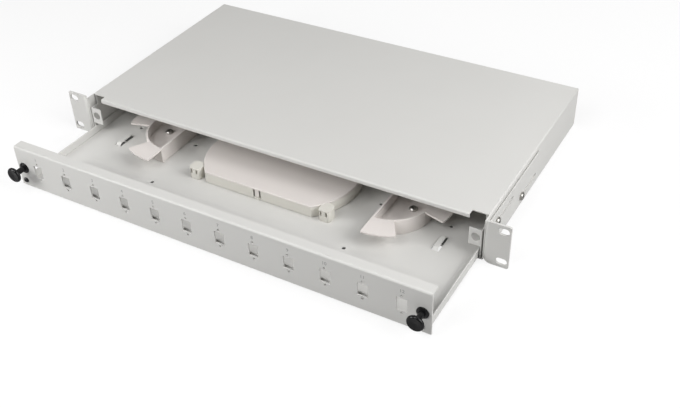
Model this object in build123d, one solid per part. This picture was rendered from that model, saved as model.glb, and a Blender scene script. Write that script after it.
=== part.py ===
# A one-unit rack panel for fibre: a flat folded casing between two rack ears, and a drawer that carries
# the adapter panel, a splice cassette and two fibre guides. Lengths are in millimetres.
# X runs along the panel to the right, Y back into the rack and Z up. The origin is the centre of the four
# rack slots, on the face of the ears that seats on the rack rails. The drawer stands pulled out.
from build123d import *
from math import cos, radians, sin
import os

# Rack ears and the brackets that carry them
RACK_WIDTH = 478.0
EAR_HEIGHT = 44.0
EAR_SHEET = 2.0
SLOT_INSET = 6.45           # centre of the slots from the ear's outer edge
SLOT_SPACING_Z = 31.75
SLOT_LENGTH = 10.3
SLOT_WIDTH = 6.8
EAR_CORNER_R = 1.5
EAR_BEND_R = 3.0            # outside radius of the bend between ear and leg
EAR_RELIEF_R = 7.0          # rounded corner of the ear below its bend
BRACKET_LENGTH = 124.0      # reach of the bracket's side leg behind the ear
BRACKET_HEIGHT = 30.7
LEG_CHAMFER = 1.2           # inner edge along the top of the leg
ADJUST_LENGTH = 40.0        # slots that let the ears be set further forward
BRACKET_SCREW_D = 4.0
UPPER_SCREW_Y = 21.0
UPPER_SCREW_Z = 6.0
LOWER_SCREW_Y = 80.0
LOWER_SCREW_Z = -7.0

# Casing: a base with side walls and a cover that slips over them
CASE_WIDTH = 432.0
CASE_DEPTH = 238.0          # rear face behind the ears' seat
CASE_SHEET = 1.0
BEND_R = 1.5                # outside radius of the casing's bends
WALL_GAP = 1.6              # between the side walls and the cover's skirts
COVER_SETBACK = 9.0         # front edge of the cover's top beside the lip
LIP_FRONT = 2.5
LIP_INSET = 16.0            # ends of the lip from the casing's sides
LIP_DROP = 4.0
SKIRT_RAISE = 0.5
REAR_FLANGE = 8.0
REAR_SCREW_D = 3.0
REAR_SCREW_SPACING = 120.0
GLAND_HOLE_D = 20.5
GLAND_INSET = 46.0
GLAND_RAISE = 18.0          # centre of the cable entries above the underside
TAB_WIDTH = 10.9
TAB_HEIGHT = 17.4

# Front panel, closed flush with the ears
DRAWER_OUT = 100.0          # how far the drawer stands pulled out
PANEL_SHEET = 1.5
PANEL_FLANGE = 10.5
PANEL_BEND_R = 2.0
PANEL_SIDE_CLEAR = 0.5
FLANGE_CLEAR = 0.4          # between the panel's top flange and the cover
TAB_CLEAR = 0.3             # between the closed panel and the latch tabs
PORT_COUNT = 12
END_PORT_INSET = 26.25      # centre of the end openings from the casing's sides
PORT_WIDTH = 9.6
PORT_HEIGHT = 13.0
PORT_SCREW_SPACING = 18.0
PORT_SCREW_D = 2.4
PANEL_SCREW_D = 2.6
LEFT_SCREW_INSET = 6.5      # from the casing's sides
RIGHT_SCREW_INSET = 9.5     # further in, behind the knob
PANEL_SCREW_RAISE = 6.3     # above the panel's lower edge

# Drawer tray
TRAY_SHEET = 1.0
TRAY_LENGTH = 206.0
TRAY_WALL = 8.7
TRAY_SIDE_CLEAR = 1.0
TRAY_LIFT = 0.3
UPSTAND_HEIGHT = 13.7
CORNER_UPSTAND_HEIGHT = 10.7
UPSTAND_SETBACK = 2.8       # gap behind the panel between the corners
CORNER_WIDTH = 34.0         # part of the upstand that carries the panel, from the casing's sides
BEND_RELIEF = 2.2           # front end of the side walls behind the panel
STOP_INSET = 6.0            # stop lugs ahead of the tray's rear edge
STOP_LENGTH = 10.0
STOP_HEIGHT = 18.7
TIE_INSET = 40.5
TIE_DEPTH = 102.0           # depths in the drawer count from the panel's front face
TIE_LENGTH = 21.0
TIE_WIDTH = 5.0
TIE_SLIT = 1.2
TIE_RISE = 2.5
TIE_RAMP = 3.0
FIXING_HOLE_D = 3.5
FIXING_FIRST_DEPTH = 58.0
FIXING_PITCH = 70.0
FIXING_INNER_SPACING = 210.0

# Half-moon fibre guides
GUIDE_SPACING = 231.0       # between the two straight walls
GUIDE_DEPTH = 128.0
GUIDE_R = 39.5
GUIDE_WALL = 2.0
GUIDE_HEIGHT = 15.7
GUIDE_PLATE_RAISE = 4.2     # underside of the guide's plate above the tray
GUIDE_PLATE = 1.6
GUIDE_BOSS_R = 5.0
GUIDE_SCREW_D = 4.0
GUIDE_SCREW_INSET = 22.0    # from the straight wall
TONGUE_R = 60.0
TONGUE_SHEET = 1.8
TONGUE_CORNER_R = 1.5
TONGUE_SWEEP = 30.5

# Splice cassette
CASSETTE_WIDTH = 158.0
CASSETTE_LENGTH = 93.0
CASSETTE_EDGE = 116.0       # straight part of the long edges
CASSETTE_DEPTH = 128.0
CASSETTE_RAISE = 0.5
CASSETTE_HEIGHT = 9.9
CASSETTE_WALL = 1.5
LUG_WIDTH = 12.0
LUG_LENGTH = 12.6
LUG_CORNER_R = 3.5
LUG_SPACING_X = 142.6
LUG_SPACING_Y = 81.3
LUG_LID_GAP = 0.4           # between the front lugs and the lid's edge
LUG_SLIT = 1.8
LUG_SLIT_DEPTH = 3.5
LUG_SLIT_HEIGHT = 5.0
LUG_SLIT_OFFSET = 2.8
LUG_SKIN = 1.2              # top of the lugs over their slits
HUB_R = 25.0
HUB_SPACING = 76.0
HUB_HEIGHT = 6.9
COMB_LENGTH = 40.0
COMB_GROOVES = 6
COMB_PITCH = 3.8
COMB_RIB = 1.0
COMB_BASE = 1.0
COMB_HEIGHT = 7.4
COMB_GAP = 3.0
CASSETTE_SCREW_D = 3.0
CASSETTE_SCREW_SPACING = 57.0
CASSETTE_POST_R = 4.0
LID_SHEET = 1.6
LID_GAP = 0.2
LID_EDGE_R = 0.8
LATCH_TONGUE_WIDTH = 4.3
LATCH_TONGUE_SHEET = 1.4
LATCH_TONGUE_DROP = 7.9
LATCH_SLIT = 2.0
LATCH_FOOT_WIDTH = 5.0
LATCH_FOOT_OUT = 0.8
HINGE_INSET = 13.0          # from the ends of the cassette's straight edge
HINGE_OUT = 2.1
HINGE_R = 1.7
HINGE_BARREL = 5.0
HINGE_KNUCKLE = 3.0
HINGE_GAP = 0.4
PIN_R = 0.7
PIN_CLEAR = 0.08

# Push-pull latches in the front panel
LATCH_INSET = 8.25          # axis from the casing's sides
GROMMET_FLANGE_R = 5.4
GROMMET_FLANGE = 2.0
GROMMET_R = 3.7
GROMMET_REACH = 9.0
GROMMET_SPLIT = 1.0
GROMMET_FIT = 0.1
TAB_HOLE_CLEAR = 0.4
PLUNGER_R = 2.7
PLUNGER_CLEAR = 0.1
PLUNGER_TRAVEL = 9.0
PLUNGER_SEAT_GAP = 0.5      # left between knob and grommet when pushed home
PLUNGER_ENGAGED = 4.0       # stem behind the panel when pulled out
KNOB_R = 7.5
KNOB_THICK = 3.6
KNOB_DISH = 0.9
KNOB_RIM_R = 1.2

# Pan-head screws
SCREW_HEAD_RATIO = 2.0      # head diameter over thread diameter
SCREW_RISE_RATIO = 0.6      # head height over thread diameter
SHOULDER_RATIO = 0.45       # sloped part of the head over its height
RECESS_RATIO = 0.24         # width of the cross recess over thread diameter
SCREW_FIT = 0.1
PANEL_SCREW_TAIL = 0.8

# Heights and planes that several pieces share
ground = -EAR_HEIGHT / 2
half_case = CASE_WIDTH / 2
panel_top = EAR_HEIGHT / 2
cover_top = panel_top - PANEL_SHEET - FLANGE_CLEAR
cover_under = cover_top - CASE_SHEET
skirt_in = half_case - CASE_SHEET
wall_out = skirt_in - WALL_GAP
wall_in = wall_out - CASE_SHEET
case_floor = ground + CASE_SHEET
base_rear = CASE_DEPTH - CASE_SHEET
tab_front = -EAR_SHEET + PANEL_SHEET + TAB_CLEAR
tab_inner = wall_in - TAB_WIDTH
latch_x = half_case - LATCH_INSET
gland_x = half_case - GLAND_INSET
gland_z = ground + GLAND_RAISE
leg_low = ground + EAR_RELIEF_R
leg_high = leg_low + BRACKET_HEIGHT
panel_front = -EAR_SHEET - DRAWER_OUT
panel_back = panel_front + PANEL_SHEET
half_panel = half_case - PANEL_SIDE_CLEAR
tray_under = case_floor + TRAY_LIFT
tray_floor = tray_under + TRAY_SHEET
half_tray = wall_in - TRAY_SIDE_CLEAR
tray_inner = half_tray - TRAY_SHEET
half_upstand = half_case - CORNER_WIDTH
upstand_y = panel_back + UPSTAND_SETBACK
tie_x = half_case - TIE_INSET
tie_y = panel_front + TIE_DEPTH
tray_rear = panel_back + TRAY_LENGTH
panel_low = tray_under
panel_screws_x = (LEFT_SCREW_INSET - half_case, half_case - RIGHT_SCREW_INSET)
panel_screw_z = panel_low + PANEL_SCREW_RAISE
guide_y = panel_front + GUIDE_DEPTH
guide_screw_x = GUIDE_SPACING / 2 + GUIDE_SCREW_INSET
guide_plate_under = tray_floor + GUIDE_PLATE_RAISE
guide_plate_top = guide_plate_under + GUIDE_PLATE
guide_rim = tray_floor + GUIDE_HEIGHT
cassette_y = panel_front + CASSETTE_DEPTH
cassette_under = tray_floor + CASSETTE_RAISE
cassette_floor = cassette_under + CASSETTE_WALL
cassette_rim = cassette_under + CASSETTE_HEIGHT
cassette_front = cassette_y - CASSETTE_LENGTH / 2
cassette_rear = cassette_y + CASSETTE_LENGTH / 2
lid_under = cassette_rim + LID_GAP
lid_top = lid_under + LID_SHEET
hinge_y = cassette_rear + HINGE_OUT
hinge_x = CASSETTE_EDGE / 2 - HINGE_INSET
knob_under = panel_front - GROMMET_FLANGE - PLUNGER_SEAT_GAP - PLUNGER_TRAVEL
bracket_screws_yz = ((UPPER_SCREW_Y, UPPER_SCREW_Z), (LOWER_SCREW_Y, LOWER_SCREW_Z))
rear_screws_x = (-REAR_SCREW_SPACING, 0.0, REAR_SCREW_SPACING)
rear_screw_z = cover_top - REAR_FLANGE / 2
end_port_x = half_case - END_PORT_INSET
ports_x = [end_port_x * (2 * i / (PORT_COUNT - 1) - 1) for i in range(PORT_COUNT)]
cassette_screws_x = (-CASSETTE_SCREW_SPACING / 2, CASSETTE_SCREW_SPACING / 2)
lugs_xy = [(x * LUG_SPACING_X / 2, cassette_y + y * LUG_SPACING_Y / 2) for x in (-1, 1) for y in (-1, 1)]
sides = (-1, 1)


def block(x, y, z):
    """A box between a low and a high value on each axis."""
    spans = [sorted(span) for span in (x, y, z)]
    size = [high - low for low, high in spans]
    middle = [(high + low) / 2 for low, high in spans]
    return Pos(*middle) * Box(*size)


def rod(start, direction, radius, length):
    """A round bar that starts at a point and runs along a direction."""
    return extrude(Plane(origin=start, z_dir=direction) * Circle(radius), length)


def drill(start, direction, radius, sheet):
    """A cutter for a round hole through a sheet, from a point on one of its faces."""
    plane = Plane(origin=start, z_dir=direction).offset(-1)
    return extrude(plane * Circle(radius), sheet + 2)


def slot(centre, direction, along, length, width, depth):
    """A cutter with round ends, which runs along one direction and goes through in another."""
    plane = Plane(origin=centre, x_dir=along, z_dir=direction)
    return extrude(plane * SlotOverall(length, width), depth, both=True)


def mirrored(piece):
    """The same piece on the other side of the panel."""
    return mirror(piece, about=Plane.YZ)


def edges_at(piece, axis, test):
    """The edges parallel to an axis whose middle passes a test."""
    return piece.edges().filter_by(axis).filter_by(lambda edge: test(edge.center()))


def screw_hole_r(diameter):
    """Radius of the clear hole for a screw."""
    return diameter / 2 + SCREW_FIT


def pan_screw(seat, direction, diameter, length):
    """A pan-head screw with a cross recess, its head seated at a point and facing a direction."""
    shank_r = diameter / 2
    head_r = diameter * SCREW_HEAD_RATIO / 2
    rise = diameter * SCREW_RISE_RATIO
    shoulder = rise * SHOULDER_RATIO
    profile = Polygon((0, -length), (shank_r, -length), (shank_r, 0), (head_r, 0), (head_r, rise - shoulder),
                      (head_r - shoulder, rise), (0, rise), align=None)
    screw = revolve(Plane.XZ * profile, Axis.Z)
    recess = diameter * RECESS_RATIO
    for long_x, long_y in ((head_r, recess), (recess, head_r)):
        screw -= block((-long_x / 2, long_x / 2), (-long_y / 2, long_y / 2), (rise / 2, rise + 1))
    return Plane(origin=seat, z_dir=direction).location * screw


def casing_base():
    """Bottom and rear wall in one folded sheet, with two cable entries at the rear."""
    base = block((-skirt_in, skirt_in), (tab_front, base_rear), (ground, cover_under))
    base = fillet(edges_at(base, Axis.X, lambda c: c.Z < case_floor and c.Y > 0), BEND_R)
    base -= block((-skirt_in, skirt_in), (tab_front, base_rear - CASE_SHEET), (case_floor, cover_under))
    for side in sides:
        gland_hole = (side * gland_x, base_rear, gland_z)
        base -= drill(gland_hole, (0, -1, 0), GLAND_HOLE_D / 2, CASE_SHEET)
    for x in rear_screws_x:
        base -= drill((x, base_rear, rear_screw_z), (0, -1, 0), screw_hole_r(REAR_SCREW_D), CASE_SHEET)
    return base


def side_wall():
    """The right side wall, welded to the base, with the latch tab turned inwards at its front."""
    wall = block((wall_in, wall_out), (tab_front, base_rear - CASE_SHEET), (case_floor, cover_under))
    wall -= block((wall_in, wall_out), (tab_front, COVER_SETBACK), (TAB_HEIGHT / 2, cover_under))
    wall += block((tab_inner, wall_in), (tab_front, tab_front + CASE_SHEET), (-TAB_HEIGHT / 2, TAB_HEIGHT / 2))
    wall -= drill((latch_x, tab_front, 0), (0, 1, 0), GROMMET_R + TAB_HOLE_CLEAR, CASE_SHEET)
    for y, z in bracket_screws_yz:
        wall -= drill((wall_in, y, z), (1, 0, 0), screw_hole_r(BRACKET_SCREW_D), CASE_SHEET)
    return wall


def top_cover():
    """Top sheet with side skirts, a flange at the rear and a lip turned down at the front."""
    top = block((-half_case, half_case), (tab_front, CASE_DEPTH), (ground + SKIRT_RAISE, cover_top))
    top = fillet(edges_at(top, Axis.Y, lambda c: c.Z > cover_under), BEND_R)
    top -= block((-skirt_in, skirt_in), (tab_front - 1, base_rear), (ground, cover_under))
    top -= block((-skirt_in, skirt_in), (tab_front - 1, COVER_SETBACK), (ground, cover_top + 1))
    top -= block((-skirt_in, skirt_in), (base_rear - 1, CASE_DEPTH + 1), (ground, cover_top - REAR_FLANGE))
    half_lip = half_case - LIP_INSET
    lip_back = LIP_FRONT + CASE_SHEET
    lip = block((-half_lip, half_lip), (LIP_FRONT, COVER_SETBACK), (cover_top - LIP_DROP, cover_top))
    lip = fillet(edges_at(lip, Axis.X, lambda c: c.Z > cover_under and c.Y < lip_back), BEND_R)
    lip -= block((-half_lip, half_lip), (lip_back, CASE_DEPTH), (ground, cover_under))
    top += lip
    for side in sides:
        for y, z in bracket_screws_yz:
            top -= drill((side * skirt_in, y, z), (side, 0, 0), screw_hole_r(BRACKET_SCREW_D), CASE_SHEET)
    for x in rear_screws_x:
        top -= drill((x, base_rear, rear_screw_z), (0, 1, 0), screw_hole_r(REAR_SCREW_D), CASE_SHEET)
    return top


def ear_bracket():
    """The right rack ear: a slotted plate bent from a leg that lies on the casing's side."""
    ear_out = RACK_WIDTH / 2
    leg_out = half_case + EAR_SHEET
    plan = Polygon((half_case, BRACKET_LENGTH), (half_case, -EAR_SHEET), (ear_out, -EAR_SHEET), (ear_out, 0),
                   (leg_out, 0), (leg_out, BRACKET_LENGTH), align=None)
    plan = fillet(plan.vertices().filter_by(lambda v: v.X < leg_out and v.Y < 0), EAR_BEND_R)
    ear = extrude(Pos(0, 0, ground) * plan, EAR_HEIGHT)
    for trim in ((ground, leg_low), (leg_high, -ground)):
        ear -= block((half_case, ear_out), (0, BRACKET_LENGTH), trim)
    ear = chamfer(edges_at(ear, Axis.Y, lambda c: c.X < leg_out - EAR_SHEET / 2 and c.Z > 0), LEG_CHAMFER)
    ear = fillet(edges_at(ear, Axis.Y, lambda c: c.X > ear_out - EAR_CORNER_R), EAR_CORNER_R)
    ear = fillet(edges_at(ear, Axis.X, lambda c: c.Y > BRACKET_LENGTH - EAR_SHEET), EAR_CORNER_R)
    relief_x = half_case + EAR_RELIEF_R
    corner = block((half_case, relief_x), (-EAR_SHEET, 0), (ground, leg_low))
    ear -= corner - rod((relief_x, -EAR_SHEET, leg_low), (0, 1, 0), EAR_RELIEF_R, EAR_SHEET)
    for z in (-SLOT_SPACING_Z / 2, SLOT_SPACING_Z / 2):
        rack_slot = (ear_out - SLOT_INSET, 0, z)
        ear -= slot(rack_slot, (0, 1, 0), (1, 0, 0), SLOT_LENGTH, SLOT_WIDTH, 2 * EAR_SHEET)
    adjust_width = BRACKET_SCREW_D + 6 * SCREW_FIT
    for y, z in bracket_screws_yz:
        middle = y + (ADJUST_LENGTH - adjust_width) / 2
        ear -= slot((half_case, middle, z), (1, 0, 0), (0, 1, 0), ADJUST_LENGTH, adjust_width, 2 * EAR_SHEET)
    return ear


def bracket_screws():
    """Four screws through the bracket slots, the cover's skirts and the side walls, flush inside."""
    length = EAR_SHEET + half_case - wall_in
    return [pan_screw((side * (half_case + EAR_SHEET), y, z), (side, 0, 0), BRACKET_SCREW_D, length)
            for side in sides for y, z in bracket_screws_yz]


def cover_rear_screws():
    """Three screws that hold the cover's rear flange to the base."""
    return [pan_screw((x, CASE_DEPTH, rear_screw_z), (0, 1, 0), REAR_SCREW_D, 2 * CASE_SHEET)
            for x in rear_screws_x]


def tie_bridge():
    """The right strip lanced out of the tray floor and raised, for a cable tie to pass under."""
    half = TIE_LENGTH / 2
    crest = half - TIE_RAMP
    arch = Polygon((-half, tray_floor), (-crest, tray_floor + TIE_RISE), (crest, tray_floor + TIE_RISE),
                   (half, tray_floor), (half, tray_under), (crest, tray_under + TIE_RISE),
                   (-crest, tray_under + TIE_RISE), (-half, tray_under), align=None)
    plane = Plane(origin=(tie_x, tie_y, 0), x_dir=(0, 1, 0), z_dir=(1, 0, 0))
    return extrude(plane * arch, TIE_WIDTH / 2, both=True)


def drawer_tray():
    """Floor of the tray, with windows round the tie bridges and holes for its screws."""
    tray = block((-half_tray, half_tray), (panel_back, tray_rear), (tray_under, tray_floor))
    tray -= block((-half_upstand, half_upstand), (panel_back, upstand_y), (tray_under, tray_floor))
    tie_half = TIE_WIDTH / 2 + TIE_SLIT
    for side in sides:
        window_x = (side * tie_x - tie_half, side * tie_x + tie_half)
        tray -= block(window_x, (tie_y - TIE_LENGTH / 2, tie_y + TIE_LENGTH / 2), (tray_under, tray_floor))
        for hole_x, hole_y in tray_holes(side):
            tray -= drill((hole_x, hole_y, tray_under), (0, 0, 1), FIXING_HOLE_D / 2, TRAY_SHEET)
        guide_hole = (side * guide_screw_x, guide_y, tray_under)
        tray -= drill(guide_hole, (0, 0, 1), screw_hole_r(GUIDE_SCREW_D), TRAY_SHEET)
    for x in cassette_screws_x:
        tray -= drill((x, cassette_y, tray_under), (0, 0, 1), screw_hole_r(CASSETTE_SCREW_D), TRAY_SHEET)
    return tray


def tray_side():
    """The tray's right side wall, with the lug that stops the drawer at the latch tab."""
    wall_x = (tray_inner, half_tray)
    wall = block(wall_x, (panel_back + BEND_RELIEF, tray_rear), (tray_floor, tray_under + TRAY_WALL))
    stop_rear = tray_rear - STOP_INSET
    wall += block(wall_x, (stop_rear - STOP_LENGTH, stop_rear), (tray_floor, tray_under + STOP_HEIGHT))
    return wall


def tray_front():
    """Upstands along the tray's front edge: a long one in the middle, and corners that carry the panel."""
    pieces = [block((-half_upstand, half_upstand), (upstand_y, upstand_y + TRAY_SHEET),
                    (tray_floor, tray_under + UPSTAND_HEIGHT))]
    for side, screw_x in zip(sides, panel_screws_x):
        corner = block((side * half_upstand, side * half_tray), (panel_back, panel_back + TRAY_SHEET),
                       (tray_floor, tray_under + CORNER_UPSTAND_HEIGHT))
        corner_hole = (screw_x, panel_back, panel_screw_z)
        corner -= drill(corner_hole, (0, 1, 0), screw_hole_r(PANEL_SCREW_D), TRAY_SHEET)
        pieces.append(corner)
    return pieces


def tray_holes(side):
    """Centres of the spare fixing holes on one side of the tray floor."""
    inner_x = FIXING_INNER_SPACING / 2
    front_y = panel_front + FIXING_FIRST_DEPTH
    rear_y = front_y + FIXING_PITCH
    return ((side * inner_x, front_y), (side * inner_x, rear_y), (side * (inner_x + FIXING_PITCH), rear_y))


def front_panel():
    """Folded panel with a row of upright adapter openings, each with a screw hole above and below."""
    panel = block((-half_panel, half_panel), (panel_front, panel_front + PANEL_FLANGE), (panel_low, panel_top))
    panel = fillet(edges_at(panel, Axis.X, lambda c: c.Z > 0 and c.Y < panel_back), PANEL_BEND_R)
    panel -= block((-half_case, half_case), (panel_back, 0), (ground, panel_top - PANEL_SHEET))
    for x in ports_x:
        panel -= block((x - PORT_WIDTH / 2, x + PORT_WIDTH / 2), (panel_front - 1, panel_back + 1),
                       (-PORT_HEIGHT / 2, PORT_HEIGHT / 2))
        for z in (-PORT_SCREW_SPACING / 2, PORT_SCREW_SPACING / 2):
            panel -= drill((x, panel_front, z), (0, 1, 0), PORT_SCREW_D / 2, PANEL_SHEET)
    for side in sides:
        latch_hole = (side * latch_x, panel_front, 0)
        panel -= drill(latch_hole, (0, 1, 0), GROMMET_R + GROMMET_FIT, PANEL_SHEET)
    for x in panel_screws_x:
        panel -= drill((x, panel_front, panel_screw_z), (0, 1, 0), screw_hole_r(PANEL_SCREW_D), PANEL_SHEET)
    return panel


def front_panel_screws():
    """Two screws that hold the panel's lower corners to the tray's upstand."""
    length = PANEL_SHEET + TRAY_SHEET + PANEL_SCREW_TAIL
    return [pan_screw((x, panel_front, panel_screw_z), (0, -1, 0), PANEL_SCREW_D, length)
            for x in panel_screws_x]


def half_disc(radius, flat):
    """Half of a disc, to the right of a straight edge at the given distance from the disc's centre."""
    return Circle(radius) & Pos(flat + radius, 0) * Rectangle(2 * radius, 2 * radius)


def tongue(middle):
    """A flat retaining tongue that stands out from the guide's rim, around an angle."""
    edge_angles = (middle - TONGUE_SWEEP / 2, middle + TONGUE_SWEEP / 2)
    reach = 2 * TONGUE_R
    corners = [(reach * cos(radians(angle)), reach * sin(radians(angle))) for angle in edge_angles]
    sector = (Circle(TONGUE_R) - Circle(GUIDE_R - GUIDE_WALL / 2)) & Polygon((0, 0), *corners, align=None)
    outer = sector.vertices().filter_by(lambda v: v.center().length > TONGUE_R - GUIDE_WALL)
    return fillet(outer, TONGUE_CORNER_R)


def fibre_guide():
    """The right fibre guide: a half-moon cup with a curved wall and three tongues on its rim."""
    guide = extrude(Pos(0, 0, tray_floor) * half_disc(GUIDE_R, 0), GUIDE_HEIGHT)
    pocket = half_disc(GUIDE_R - GUIDE_WALL, GUIDE_WALL)
    guide -= extrude(Pos(0, 0, guide_plate_top) * pocket, GUIDE_HEIGHT)
    guide -= extrude(Pos(0, 0, tray_floor - 1) * pocket, GUIDE_PLATE_RAISE + 1)
    guide += rod((GUIDE_SCREW_INSET, 0, tray_floor), (0, 0, 1), GUIDE_BOSS_R, GUIDE_PLATE_RAISE)
    tongue_under = guide_rim - TONGUE_SHEET
    for middle in (-90 + TONGUE_SWEEP / 2, 0, 90 - TONGUE_SWEEP / 2):
        guide += extrude(Pos(0, 0, tongue_under) * tongue(middle), TONGUE_SHEET)
    guide -= drill((GUIDE_SCREW_INSET, 0, tray_floor), (0, 0, 1), screw_hole_r(GUIDE_SCREW_D), GUIDE_HEIGHT)
    return Pos(GUIDE_SPACING / 2, guide_y, 0) * guide


def guide_screws():
    """One screw through each guide's boss into the tray."""
    length = guide_plate_top - tray_under
    return [pan_screw((side * guide_screw_x, guide_y, guide_plate_top), (0, 0, 1), GUIDE_SCREW_D, length)
            for side in sides]


def cassette_outline(inset):
    """Plan of the cassette, with straight long edges and bowed ends, drawn in by an inset."""
    edge = CASSETTE_EDGE / 2
    side = CASSETTE_WIDTH / 2
    half = CASSETTE_LENGTH / 2
    outline = make_face([
        Line((-edge, -half), (edge, -half)),
        ThreePointArc((edge, -half), (side, 0), (edge, half)),
        Line((edge, half), (-edge, half)),
        ThreePointArc((-edge, half), (-side, 0), (-edge, -half)),
    ])
    if inset:
        outline = offset(outline, amount=-inset)
    return Pos(0, cassette_y) * outline


def hinge_axis(x):
    """Start of a hinge part on the lid's axis, at a place along the rear edge."""
    return (x, hinge_y, lid_under)


def corner_lug(x, y):
    """A lug that stands on the tray, with two slits in its face; the front ones reach up beside the lid."""
    out = 1 if y > cassette_y else -1
    top = cassette_rim if out > 0 else lid_top
    plan = Pos(x, y, tray_floor) * RectangleRounded(LUG_WIDTH, LUG_LENGTH, LUG_CORNER_R)
    lug = extrude(plan, top - tray_floor)
    face = y + out * LUG_LENGTH / 2
    slit_y = (face - out * LUG_SLIT_DEPTH, face + out)
    slit_z = (top - LUG_SKIN - LUG_SLIT_HEIGHT, top - LUG_SKIN)
    for slit_x in (x - LUG_SLIT_OFFSET, x + LUG_SLIT_OFFSET):
        lug -= block((slit_x - LUG_SLIT / 2, slit_x + LUG_SLIT / 2), slit_y, slit_z)
    return lug


def splice_tray_base():
    """Shallow moulded tray on corner lugs, with two fibre hubs, hinge knuckles and a latch notch."""
    base = extrude(Pos(0, 0, cassette_under) * cassette_outline(0), CASSETTE_HEIGHT)
    for x, y in lugs_xy:
        base += corner_lug(x, y)
    base -= extrude(Pos(0, 0, cassette_rim) * cassette_outline(-LUG_LID_GAP), CASSETTE_HEIGHT)
    base -= extrude(Pos(0, 0, cassette_floor) * cassette_outline(CASSETTE_WALL), CASSETTE_HEIGHT)
    for side in sides:
        ring = half_disc(HUB_R, 0) - half_disc(HUB_R - CASSETTE_WALL, -CASSETTE_WALL)
        hub = extrude(Pos(HUB_SPACING / 2, cassette_y, cassette_floor) * ring, HUB_HEIGHT)
        base += hub if side > 0 else mirrored(hub)
        knuckle_shift = HINGE_BARREL / 2 + HINGE_GAP
        for start in (side * hinge_x - knuckle_shift - HINGE_KNUCKLE, side * hinge_x + knuckle_shift):
            base += rod(hinge_axis(start), (1, 0, 0), HINGE_R, HINGE_KNUCKLE)
            base += block((start, start + HINGE_KNUCKLE), (cassette_rear - CASSETTE_WALL, hinge_y),
                          (cassette_under, cassette_rim - LID_GAP))
            base -= drill(hinge_axis(start), (1, 0, 0), PIN_R, HINGE_KNUCKLE)
    for x in cassette_screws_x:
        base += rod((x, cassette_y, tray_floor), (0, 0, 1), CASSETTE_POST_R, CASSETTE_RAISE)
        base -= drill((x, cassette_y, tray_floor), (0, 0, 1), screw_hole_r(CASSETTE_SCREW_D), CASSETTE_HEIGHT)
    foot_half = LATCH_FOOT_WIDTH / 2
    foot_y = (cassette_front - LATCH_FOOT_OUT, cassette_front + CASSETTE_WALL)
    base += block((-foot_half, foot_half), foot_y, (tray_floor, cassette_floor))
    notch_half = LATCH_TONGUE_WIDTH / 2 + LATCH_SLIT
    base -= block((-notch_half, notch_half), foot_y, (cassette_floor, cassette_rim))
    return base


def splice_comb(row):
    """A comb that holds the splice sleeves, in front of or behind the cassette's middle."""
    width = COMB_GROOVES * COMB_PITCH + COMB_RIB
    middle = cassette_y + row * (width + COMB_GAP) / 2
    front = middle - width / 2
    half = COMB_LENGTH / 2
    comb = block((-half, half), (front, front + width), (cassette_floor, cassette_floor + COMB_BASE))
    for i in range(COMB_GROOVES + 1):
        rib = front + i * COMB_PITCH
        comb += block((-half, half), (rib, rib + COMB_RIB), (cassette_floor, cassette_floor + COMB_HEIGHT))
    return comb


def splice_tray_screws():
    """Two screws through the cassette's floor into the drawer tray."""
    length = cassette_floor - tray_under
    return [pan_screw((x, cassette_y, cassette_floor), (0, 0, 1), CASSETTE_SCREW_D, length)
            for x in cassette_screws_x]


def lid_hinge_pins():
    """Two pins through the knuckles at the cassette's rear edge."""
    length = HINGE_BARREL + 2 * (HINGE_GAP + HINGE_KNUCKLE)
    starts = [side * hinge_x - length / 2 for side in sides]
    return [rod(hinge_axis(start), (1, 0, 0), PIN_R, length) for start in starts]


def splice_tray_lid():
    """Flat lid with a latch tongue at the front and hinge barrels at the rear."""
    lid = extrude(Pos(0, 0, lid_under) * cassette_outline(0), LID_SHEET)
    lid = fillet(lid.faces().sort_by(Axis.Z)[-1].edges(), LID_EDGE_R)
    half = LATCH_TONGUE_WIDTH / 2
    lid += block((-half, half), (cassette_front, cassette_front + LATCH_TONGUE_SHEET),
                 (lid_under - LATCH_TONGUE_DROP, lid_under + LID_SHEET / 2))
    for side in sides:
        start = side * hinge_x - HINGE_BARREL / 2
        lid += rod(hinge_axis(start), (1, 0, 0), HINGE_R, HINGE_BARREL)
        web_y = (cassette_rear - LID_SHEET, hinge_y)
        lid += block((start, start + HINGE_BARREL), web_y, (lid_under, lid_top))
        lid -= drill(hinge_axis(start), (1, 0, 0), PIN_R + PIN_CLEAR, HINGE_BARREL)
    return lid


def latch_grommet():
    """Split bush in the right end of the panel, turned from its profile about the latch's axis."""
    bore = PLUNGER_R + PLUNGER_CLEAR
    tail = PANEL_SHEET + GROMMET_REACH
    profile = Polygon((bore, -GROMMET_FLANGE), (GROMMET_R, -GROMMET_FLANGE),
                      (GROMMET_FLANGE_R, -GROMMET_FLANGE / 2), (GROMMET_FLANGE_R, 0), (GROMMET_R, 0),
                      (GROMMET_R, tail - GROMMET_SPLIT), (GROMMET_R - GROMMET_SPLIT / 2, tail), (bore, tail),
                      align=None)
    grommet = revolve(Plane.XZ * profile, Axis.Z)
    half = GROMMET_SPLIT / 2
    split_z = (PANEL_SHEET + GROMMET_SPLIT, tail + 1)
    grommet -= block((-half, half), (-GROMMET_FLANGE_R, GROMMET_FLANGE_R), split_z)
    grommet -= block((-GROMMET_FLANGE_R, GROMMET_FLANGE_R), (-half, half), split_z)
    return Plane(origin=(latch_x, panel_front, 0), z_dir=(0, 1, 0)).location * grommet


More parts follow.
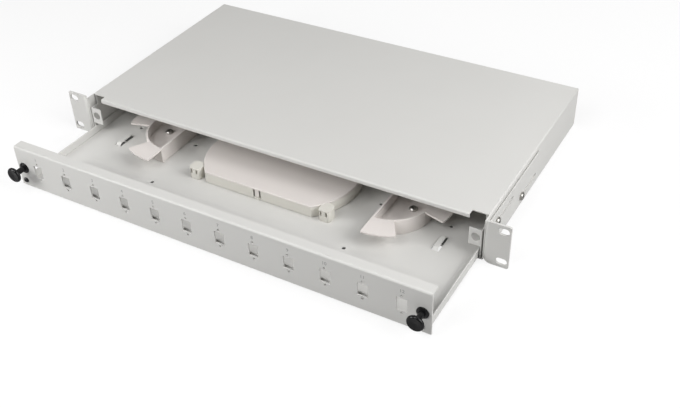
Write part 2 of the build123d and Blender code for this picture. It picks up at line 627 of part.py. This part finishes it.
def latch_plunger():
    """Dished knob on a stem that slides in the right grommet."""
    stem_end = panel_back + PLUNGER_ENGAGED - knob_under
    rim = KNOB_R - KNOB_RIM_R
    profile = make_face([
        Polyline((rim, -KNOB_THICK), (0, KNOB_DISH - KNOB_THICK), (0, stem_end), (PLUNGER_R, stem_end),
                 (PLUNGER_R, 0), (rim, 0)),
        ThreePointArc((rim, 0), (KNOB_R, -KNOB_THICK / 2), (rim, -KNOB_THICK)),
    ])
    plunger = revolve(Plane.XZ * profile, Axis.Z)
    return Plane(origin=(latch_x, knob_under, 0), z_dir=(0, 1, 0)).location * plunger


nodes = {
    "casing_base": casing_base(),
    "top_cover": top_cover(),
    "bracket_screws": bracket_screws(),
    "cover_rear_screws": cover_rear_screws(),
    "drawer_tray": drawer_tray(),
    "tray_front": tray_front(),
    "front_panel": front_panel(),
    "front_panel_screws": front_panel_screws(),
    "guide_screws": guide_screws(),
    "splice_tray_base": splice_tray_base(),
    "splice_comb_front": splice_comb(-1),
    "splice_comb_rear": splice_comb(1),
    "splice_tray_screws": splice_tray_screws(),
    "splice_tray_lid": splice_tray_lid(),
    "lid_hinge_pins": lid_hinge_pins(),
}
handed = {
    "side_wall": side_wall(),
    "tray_side": tray_side(),
    "tie_bridge": tie_bridge(),
    "ear_bracket": ear_bracket(),
    "fibre_guide": fibre_guide(),
    "latch_grommet": latch_grommet(),
    "latch_plunger": latch_plunger(),
}
for name, right_piece in handed.items():
    nodes[name + "_right"] = right_piece
    nodes[name + "_left"] = mirrored(right_piece)

os.makedirs("parts", exist_ok=True)
for name, piece in nodes.items():
    if isinstance(piece, list):
        piece = Compound(children=piece)
    export_step(piece, "parts/" + name + ".step")
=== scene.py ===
from math import radians

import bmesh
import bpy
from mathutils import Matrix, Vector


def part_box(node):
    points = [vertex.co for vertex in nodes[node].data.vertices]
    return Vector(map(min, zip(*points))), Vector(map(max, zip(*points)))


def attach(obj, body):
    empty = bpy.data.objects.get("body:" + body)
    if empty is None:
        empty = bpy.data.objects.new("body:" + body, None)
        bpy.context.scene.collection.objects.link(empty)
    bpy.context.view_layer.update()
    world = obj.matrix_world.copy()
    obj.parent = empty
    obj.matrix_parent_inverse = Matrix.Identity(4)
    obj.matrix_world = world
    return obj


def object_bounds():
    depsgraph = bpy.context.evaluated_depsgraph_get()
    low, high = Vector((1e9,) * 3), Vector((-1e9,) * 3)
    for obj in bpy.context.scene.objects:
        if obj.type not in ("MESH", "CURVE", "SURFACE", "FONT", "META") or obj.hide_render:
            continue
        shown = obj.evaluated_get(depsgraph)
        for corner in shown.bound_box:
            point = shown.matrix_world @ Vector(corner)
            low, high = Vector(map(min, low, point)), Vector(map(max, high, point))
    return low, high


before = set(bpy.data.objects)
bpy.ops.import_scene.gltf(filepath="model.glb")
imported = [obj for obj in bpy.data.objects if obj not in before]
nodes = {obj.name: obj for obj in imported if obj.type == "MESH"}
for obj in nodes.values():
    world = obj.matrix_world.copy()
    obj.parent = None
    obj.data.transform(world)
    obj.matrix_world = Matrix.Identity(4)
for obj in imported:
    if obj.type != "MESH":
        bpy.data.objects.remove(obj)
cad_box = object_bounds()

# Cover, side walls and rack ears: thin folded steel sheet, screwed and welded to the base.
# They are coated in light grey powder, which dries to a faint orange peel and a satin sheen.
MM = 0.001
PAINT_GREY = (0.675, 0.669, 0.648, 1.0)
PAINT_SHADE = (0.645, 0.639, 0.618, 1.0)
PAINT_EDGE_ROUND = 0.25 * MM
PEEL_HEIGHT = 0.02 * MM
JOIN_DISTANCE = 0.001 * MM
FLAT_ANGLE = radians(0.5)
SHARP_ANGLE = radians(50)


def new_group(name, inputs, outputs):
    """A shader node group with named sockets, and its input and output nodes."""
    group = bpy.data.node_groups.new(name, "ShaderNodeTree")
    for socket, kind, value in inputs:
        made = group.interface.new_socket(socket, in_out="INPUT", socket_type=kind)
        made.default_value = value
    for socket, kind in outputs:
        group.interface.new_socket(socket, in_out="OUTPUT", socket_type=kind)
    return group, group.nodes.new("NodeGroupInput"), group.nodes.new("NodeGroupOutput")


def speckle_group():
    """Slow tone changes and a fine grain, as a colour, a roughness and a height."""
    group, given, result = new_group(
        "coating grain",
        [("Colour", "NodeSocketColor", PAINT_GREY), ("Shade", "NodeSocketColor", PAINT_SHADE),
         ("Patch scale", "NodeSocketFloat", 14.0), ("Grain scale", "NodeSocketFloat", 1400.0),
         ("Roughness", "NodeSocketFloat", 0.45), ("Roughness swing", "NodeSocketFloat", 0.08)],
        [("Colour", "NodeSocketColor"), ("Roughness", "NodeSocketFloat"), ("Height", "NodeSocketFloat")])
    links = group.links
    place = group.nodes.new("ShaderNodeTexCoord")
    patches = group.nodes.new("ShaderNodeTexNoise")
    patches.inputs["Detail"].default_value = 3.0
    links.new(place.outputs["Object"], patches.inputs["Vector"])
    links.new(given.outputs["Patch scale"], patches.inputs["Scale"])
    grain = group.nodes.new("ShaderNodeTexNoise")
    grain.inputs["Detail"].default_value = 2.0
    links.new(place.outputs["Object"], grain.inputs["Vector"])
    links.new(given.outputs["Grain scale"], grain.inputs["Scale"])
    tone = group.nodes.new("ShaderNodeMix")
    tone.data_type = "RGBA"
    links.new(patches.outputs["Fac"], tone.inputs["Factor"])
    links.new(given.outputs["Colour"], tone.inputs[6])
    links.new(given.outputs["Shade"], tone.inputs[7])
    links.new(tone.outputs[2], result.inputs["Colour"])
    swing = group.nodes.new("ShaderNodeMath")
    swing.operation = "MULTIPLY_ADD"
    links.new(patches.outputs["Fac"], swing.inputs[0])
    links.new(given.outputs["Roughness swing"], swing.inputs[1])
    links.new(given.outputs["Roughness"], swing.inputs[2])
    links.new(swing.outputs["Value"], result.inputs["Roughness"])
    links.new(grain.outputs["Fac"], result.inputs["Height"])
    return group


grain_group = speckle_group()


def coated(name, colour, shade, roughness, bump, patch=14.0, grain=1400.0, **plain):
    """A material whose colour, roughness and bump come from the coating grain, with plain shader values."""
    material = bpy.data.materials.new(name)
    material.use_nodes = True
    tree = material.node_tree
    shader = tree.nodes["Principled BSDF"]
    for socket, value in plain.items():
        shader.inputs[socket.replace("_", " ")].default_value = value
    look = tree.nodes.new("ShaderNodeGroup")
    look.node_tree = grain_group
    look.inputs["Colour"].default_value = colour
    look.inputs["Shade"].default_value = shade
    look.inputs["Roughness"].default_value = roughness
    look.inputs["Patch scale"].default_value = patch
    look.inputs["Grain scale"].default_value = grain
    tree.links.new(look.outputs["Colour"], shader.inputs["Base Color"])
    tree.links.new(look.outputs["Roughness"], shader.inputs["Roughness"])
    peel = tree.nodes.new("ShaderNodeBump")
    peel.inputs["Strength"].default_value = bump
    peel.inputs["Distance"].default_value = PEEL_HEIGHT
    tree.links.new(look.outputs["Height"], peel.inputs["Height"])
    tree.links.new(peel.outputs["Normal"], shader.inputs["Normal"])
    return material


def dress(node, material, edge_round=0.0):
    """Gives a node its finish and, where asked, softly rounded edges."""
    piece = nodes[node]
    piece.data.materials.clear()
    piece.data.materials.append(material)
    if edge_round:
        weld = piece.modifiers.new("join", "WELD")
        weld.merge_threshold = JOIN_DISTANCE
        flatten = piece.modifiers.new("flatten", "DECIMATE")
        flatten.decimate_type = "DISSOLVE"
        flatten.angle_limit = FLAT_ANGLE
        soften = piece.modifiers.new("soften", "BEVEL")
        soften.width = edge_round
        soften.segments = 2
        soften.limit_method = "ANGLE"
        soften.angle_limit = SHARP_ANGLE
        soften.harden_normals = True
    return piece


grey_paint = coated("grey powder coat", PAINT_GREY, PAINT_SHADE, roughness=0.42, bump=0.25)
for node in ("top_cover", "side_wall_left", "side_wall_right", "ear_bracket_left", "ear_bracket_right"):
    dress(node, grey_paint, PAINT_EDGE_ROUND)

# Base: the same coat outside, but inside the casing its colour is painted dark grey as painted shade.
# The drawer's tray slides on it.
INSIDE_PAINTED_SHADE = (0.13, 0.13, 0.125, 1.0)
SKIN = 0.05 * MM


def box_mask_group():
    """One inside a box and zero outside it."""
    group, given, result = new_group(
        "inside a box",
        [("Place", "NodeSocketVector", (0.0, 0.0, 0.0)), ("Centre", "NodeSocketVector", (0.0, 0.0, 0.0)),
         ("Half size", "NodeSocketVector", (1.0, 1.0, 1.0))],
        [("Inside", "NodeSocketFloat")])
    links = group.links
    offset = group.nodes.new("ShaderNodeVectorMath")
    offset.operation = "SUBTRACT"
    links.new(given.outputs["Place"], offset.inputs[0])
    links.new(given.outputs["Centre"], offset.inputs[1])
    ratio = group.nodes.new("ShaderNodeVectorMath")
    ratio.operation = "DIVIDE"
    links.new(offset.outputs["Vector"], ratio.inputs[0])
    links.new(given.outputs["Half size"], ratio.inputs[1])
    spread = group.nodes.new("ShaderNodeVectorMath")
    spread.operation = "ABSOLUTE"
    links.new(ratio.outputs["Vector"], spread.inputs[0])
    apart = group.nodes.new("ShaderNodeSeparateXYZ")
    links.new(spread.outputs["Vector"], apart.inputs["Vector"])
    wider = group.nodes.new("ShaderNodeMath")
    wider.operation = "MAXIMUM"
    links.new(apart.outputs["X"], wider.inputs[0])
    links.new(apart.outputs["Y"], wider.inputs[1])
    widest = group.nodes.new("ShaderNodeMath")
    widest.operation = "MAXIMUM"
    links.new(wider.outputs["Value"], widest.inputs[0])
    links.new(apart.outputs["Z"], widest.inputs[1])
    within = group.nodes.new("ShaderNodeMath")
    within.operation = "LESS_THAN"
    within.inputs[1].default_value = 1.0
    links.new(widest.outputs["Value"], within.inputs[0])
    links.new(within.outputs["Value"], result.inputs["Inside"])
    return group


box_mask = box_mask_group()


def inside_box(tree, low, high, owner=None):
    """A node in a material that masks a box, which moves with its owner or with the object itself."""
    place = tree.nodes.new("ShaderNodeTexCoord")
    place.object = owner
    mask = tree.nodes.new("ShaderNodeGroup")
    mask.node_tree = box_mask
    tree.links.new(place.outputs["Object"], mask.inputs["Place"])
    mask.inputs["Centre"].default_value = [(a + b) / 2 for a, b in zip(low, high)]
    mask.inputs["Half size"].default_value = [(b - a) / 2 for a, b in zip(low, high)]
    return mask


base_low, base_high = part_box("casing_base")
wall_low, wall_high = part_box("side_wall_right")
sheet = wall_low[2] - base_low[2]
inner_x = wall_high[0] - sheet + SKIN
inner_low = (-inner_x, base_low[1] + sheet, wall_low[2] - SKIN)
inner_high = (inner_x, base_high[1] - sheet + SKIN, wall_high[2])
inner_paint = coated("powder coat, painted shade inside", PAINT_GREY, PAINT_SHADE, roughness=0.42, bump=0.25)
inner_tree = inner_paint.node_tree
inner_shader = inner_tree.nodes["Principled BSDF"]
inner_mask = inside_box(inner_tree, inner_low, inner_high)
# Painted shade: inside the casing the coat's colour is mixed to a dark grey.
inside_painted_shade = inner_tree.nodes.new("ShaderNodeMix")
inside_painted_shade.data_type = "RGBA"
inside_painted_shade.inputs[7].default_value = INSIDE_PAINTED_SHADE
inner_tree.links.new(inner_mask.outputs["Inside"], inside_painted_shade.inputs["Factor"])
inner_tree.links.new(inner_shader.inputs["Base Color"].links[0].from_socket, inside_painted_shade.inputs[6])
inner_tree.links.new(inside_painted_shade.outputs[2], inner_shader.inputs["Base Color"])
dress("casing_base", inner_paint, PAINT_EDGE_ROUND)

# Drawer tray with its walls, upstands and tie bridges, and the front panel: the same sheet and coat.
# The panel's lower corners are screwed to the tray's upstands.
for node in ("drawer_tray", "tray_front", "tray_side_left", "tray_side_right", "tie_bridge_left",
             "tie_bridge_right", "front_panel"):
    dress(node, grey_paint, PAINT_EDGE_ROUND)

# Plated screws that hold the ears, the cover, the guides and the cassette, and the lid's hinge pins.
# They are steel with a nickel coat.
NICKEL = (0.5, 0.49, 0.465, 1.0)
NICKEL_SHADE = (0.39, 0.38, 0.36, 1.0)
nickel = coated("nickel plate", NICKEL, NICKEL_SHADE, roughness=0.3, bump=0.1, patch=400.0, grain=3000.0,
                Metallic=1.0)
for node in ("bracket_screws", "cover_rear_screws", "guide_screws", "splice_tray_screws", "lid_hinge_pins"):
    dress(node, nickel)

# Two screws in the panel's lower corners, blackened steel.
# They hold the panel to the tray's upstands.
BLACK_OXIDE = (0.018, 0.018, 0.019, 1.0)
BLACK_OXIDE_SHADE = (0.03, 0.03, 0.03, 1.0)
black_oxide = coated("black oxide", BLACK_OXIDE, BLACK_OXIDE_SHADE, roughness=0.4, bump=0.1, patch=400.0,
                     grain=3000.0)
dress("front_panel_screws", black_oxide)

# Fibre guides and the cassette's lid: moulded in off-white plastic with a pinkish tint and a soft sheen.
# The guides are screwed to the tray, and the lid swings on the cassette.
WARM_WHITE = (0.74, 0.697, 0.669, 1.0)
WARM_SHADE = (0.71, 0.668, 0.64, 1.0)
MOULD_EDGE_ROUND = 0.2 * MM
white_plastic = coated("off-white moulding", WARM_WHITE, WARM_SHADE, roughness=0.5, bump=0.1, patch=30.0,
                       grain=2000.0)
for node in ("fibre_guide_left", "fibre_guide_right", "splice_tray_lid"):
    dress(node, white_plastic, MOULD_EDGE_ROUND)

# Splice cassette's base and its two combs: moulded in a yellower off-white plastic.
# The base is screwed to the tray, and the combs snap into it.
IVORY = (0.70, 0.683, 0.63, 1.0)
IVORY_SHADE = (0.67, 0.653, 0.6, 1.0)
ivory_plastic = coated("ivory moulding", IVORY, IVORY_SHADE, roughness=0.5, bump=0.1, patch=30.0,
                       grain=2000.0)
for node in ("splice_tray_base", "splice_comb_front", "splice_comb_rear"):
    dress(node, ivory_plastic, MOULD_EDGE_ROUND)

# Push-pull latches: a split bush in each end of the panel and a knob on a stem, in black nylon.
# The knobs stand pulled out and are pushed home to lock the drawer.
BLACK_NYLON = (0.006, 0.006, 0.0065, 1.0)
BLACK_NYLON_SHADE = (0.01, 0.01, 0.0105, 1.0)
black_plastic = coated("black nylon", BLACK_NYLON, BLACK_NYLON_SHADE, roughness=0.2, bump=0.15, patch=200.0,
                       grain=2500.0, Specular_IOR_Level=0.3)
for side in ("left", "right"):
    dress("latch_grommet_" + side, black_plastic)
    dress("latch_plunger_" + side, black_plastic)

# Numbers over the adapter openings, screen-printed in dark grey ink on the coated panel.
# They run from left to right.
NUMBER_HEIGHT = 3.4 * MM
FIGURE_SHARE = 0.72         # of a figure's height in the font's size
NUMBER_RAISE = 13.4 * MM
INK_THICK = 0.04 * MM
PORT_COUNT = 12
END_PORT_INSET = 25.75 * MM
INK = (0.27, 0.27, 0.265, 1.0)
INK_SHADE = (0.32, 0.32, 0.315, 1.0)
ink = coated("number ink", INK, INK_SHADE, roughness=0.6, bump=0.1, patch=300.0, grain=3000.0)
panel_low, panel_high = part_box("front_panel")
panel_middle_z = (panel_low[2] + panel_high[2]) / 2


def printed_number(number, x):
    """One number as a thin layer of ink on the panel's front face."""
    curve = bpy.data.curves.new("number %d" % number, "FONT")
    curve.body = str(number)
    curve.size = NUMBER_HEIGHT / FIGURE_SHARE
    curve.align_x = "CENTER"
    curve.align_y = "CENTER"
    curve.extrude = INK_THICK / 2
    text = bpy.data.objects.new("number text", curve)
    bpy.context.collection.objects.link(text)
    mesh = bpy.data.meshes.new_from_object(text.evaluated_get(bpy.context.evaluated_depsgraph_get()))
    bpy.data.objects.remove(text)
    bpy.data.curves.remove(curve)
    upright = Matrix.Rotation(radians(90), 4, "X")
    place = Matrix.Translation((x, panel_low[1], panel_middle_z + NUMBER_RAISE))
    mesh.transform(place @ upright)
    mesh.materials.clear()
    mesh.materials.append(ink)
    piece = bpy.data.objects.new("port_number_%d" % number, mesh)
    bpy.context.collection.objects.link(piece)
    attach(piece, "drawer")
    return piece


first_port = panel_low[0] + END_PORT_INSET
last_port = panel_high[0] - END_PORT_INSET
for index in range(PORT_COUNT):
    port_x = first_port + (last_port - first_port) * index / (PORT_COUNT - 1)
    printed_number(index + 1, port_x)

# Studio: a white table under the object, which keeps its soft shadow.
# Seen straight on it glows a little, and it throws less light back. Under the drawer it does not glow, and
# its colour is painted dark grey as painted shade.
FLOOR_SIZE = 8.0
FLOOR_WHITE = (0.97, 0.97, 0.97, 1.0)
FLOOR_UNSEEN = (0.42, 0.42, 0.42, 1.0)
FLOOR_PAINTED_SHADE = (0.15, 0.15, 0.15, 1.0)
FLOOR_ROUGHNESS = 0.9
FLOOR_GLOW = 0.75
UNDER_INSET = 3 * MM
tray_low, tray_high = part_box("drawer_tray")
tie_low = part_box("tie_bridge_right")[0]
under_low = (tray_low[0] + UNDER_INSET, tray_low[1] + UNDER_INSET, base_low[2] - MM)
under_high = (tie_low[0] - UNDER_INSET, tray_high[1] - UNDER_INSET, base_low[2] + MM)
table_mesh = bpy.data.meshes.new("table")
table_shape = bmesh.new()
bmesh.ops.create_grid(table_shape, x_segments=1, y_segments=1, size=FLOOR_SIZE / 2,
                      matrix=Matrix.Translation((0, 0, cad_box[0][2])))
table_shape.to_mesh(table_mesh)
table_shape.free()
table = bpy.data.objects.new("table", table_mesh)
bpy.context.collection.objects.link(table)
table_white = bpy.data.materials.new("table white")
table_white.use_nodes = True
table_tree = table_white.node_tree
table_shader = table_tree.nodes["Principled BSDF"]
table_shader.inputs["Roughness"].default_value = FLOOR_ROUGHNESS
glow = table_tree.nodes.new("ShaderNodeEmission")
glow.inputs["Strength"].default_value = 1.0
ray = table_tree.nodes.new("ShaderNodeLightPath")
under = inside_box(table_tree, under_low, under_high, owner=nodes["drawer_tray"])
seen = table_tree.nodes.new("ShaderNodeMath")
seen.operation = "SUBTRACT"
seen.use_clamp = True
table_tree.links.new(ray.outputs["Is Camera Ray"], seen.inputs[0])
table_tree.links.new(under.outputs["Inside"], seen.inputs[1])
table_tone = table_tree.nodes.new("ShaderNodeMix")
table_tone.data_type = "RGBA"
table_tone.inputs[6].default_value = FLOOR_UNSEEN
table_tone.inputs[7].default_value = FLOOR_WHITE
table_tree.links.new(ray.outputs["Is Camera Ray"], table_tone.inputs["Factor"])
# Painted shade: under the drawer the table's colour is set to a dark grey.
under_painted_shade = table_tree.nodes.new("ShaderNodeMix")
under_painted_shade.data_type = "RGBA"
under_painted_shade.inputs[7].default_value = FLOOR_PAINTED_SHADE
table_tree.links.new(under.outputs["Inside"], under_painted_shade.inputs["Factor"])
table_tree.links.new(table_tone.outputs[2], under_painted_shade.inputs[6])
table_tree.links.new(under_painted_shade.outputs[2], table_shader.inputs["Base Color"])
share = table_tree.nodes.new("ShaderNodeMath")
share.operation = "MULTIPLY"
share.inputs[1].default_value = FLOOR_GLOW
table_tree.links.new(seen.outputs["Value"], share.inputs[0])
blend = table_tree.nodes.new("ShaderNodeMixShader")
table_tree.links.new(share.outputs["Value"], blend.inputs["Fac"])
table_tree.links.new(table_shader.outputs["BSDF"], blend.inputs[1])
table_tree.links.new(glow.outputs["Emission"], blend.inputs[2])
table_tree.links.new(blend.outputs["Shader"], table_tree.nodes["Material Output"].inputs["Surface"])
table_mesh.materials.append(table_white)

# Soft light: a dim room and large lamps in front, above, behind and to both sides.
# The low lamp on the left makes the panel paler there, and the lamps on the right light the casing's side.
ROOM_LIGHT = 0.02
WALL_SEEN = 0.77            # what the camera sees past the table's edge
world = bpy.data.worlds.new("room")
bpy.context.scene.world = world
world.use_nodes = True
sky = world.node_tree.nodes["Background"]
sky.inputs["Color"].default_value = (1.0, 1.0, 1.0, 1.0)
sky_ray = world.node_tree.nodes.new("ShaderNodeLightPath")
sky_share = world.node_tree.nodes.new("ShaderNodeMath")
sky_share.operation = "MULTIPLY_ADD"
sky_share.inputs[1].default_value = WALL_SEEN - ROOM_LIGHT
sky_share.inputs[2].default_value = ROOM_LIGHT
world.node_tree.links.new(sky_ray.outputs["Is Camera Ray"], sky_share.inputs[0])
world.node_tree.links.new(sky_share.outputs["Value"], sky.inputs["Strength"])


def soft_lamp(name, position, target, size, power):
    """A square area lamp that faces a point."""
    data = bpy.data.lights.new(name, "AREA")
    data.size = size
    data.energy = power
    lamp = bpy.data.objects.new(name, data)
    aim = (Vector(target) - Vector(position)).to_track_quat("-Z", "Y")
    lamp.matrix_world = Matrix.Translation(position) @ aim.to_matrix().to_4x4()
    bpy.context.collection.objects.link(lamp)
    return lamp


soft_lamp("front", (-0.283, -1.055, 1.302), (0.0, 0.0, 0.0), size=0.7, power=9.7)
soft_lamp("left, low", (-0.65, -0.7, 0.41), (-0.15, -0.1, 0.0), size=0.35, power=5.1)
soft_lamp("overhead", (0.0, 0.05, 1.7), (0.0, 0.05, 0.0), size=1.2, power=1.6)
soft_lamp("right, low", (1.54, 0.0, 0.72), (0.0, 0.0, 0.0), size=0.9, power=14.8)
soft_lamp("right, high", (1.15, 0.0, 1.25), (0.0, 0.0, 0.0), size=0.9, power=10.5)
soft_lamp("rear", (0.2, 1.2, 1.2), (0.0, 0.05, 0.0), size=0.9, power=5.8)

# Camera: at the photograph's place, in front of the panel, to the right and above.
# Its place and turn come from the rack slots and the casing's corners in the photograph.
CAMERA_PLACE = (0.41954, -0.57479, 0.50293)
CAMERA_AZIMUTH = 30.820
CAMERA_ELEVATION = 37.564
CAMERA_ROLL = -2.023
FOCAL_PIXELS = 935.1
IMAGE_WIDTH = 680
SENSOR = 36.0
NEAREST_SEEN = 0.01
camera_data = bpy.data.cameras.new("camera")
camera_data.sensor_fit = "HORIZONTAL"
camera_data.sensor_width = SENSOR
camera_data.lens = FOCAL_PIXELS / IMAGE_WIDTH * SENSOR
camera_data.clip_start = NEAREST_SEEN
camera = bpy.data.objects.new("camera", camera_data)
turn = (Matrix.Rotation(radians(CAMERA_AZIMUTH), 4, "Z")
        @ Matrix.Rotation(radians(90 - CAMERA_ELEVATION), 4, "X")
        @ Matrix.Rotation(radians(CAMERA_ROLL), 4, "Z"))
camera.matrix_world = Matrix.Translation(CAMERA_PLACE) @ turn
bpy.context.collection.objects.link(camera)
bpy.context.scene.camera = camera
bpy.context.scene.view_settings.view_transform = "Standard"
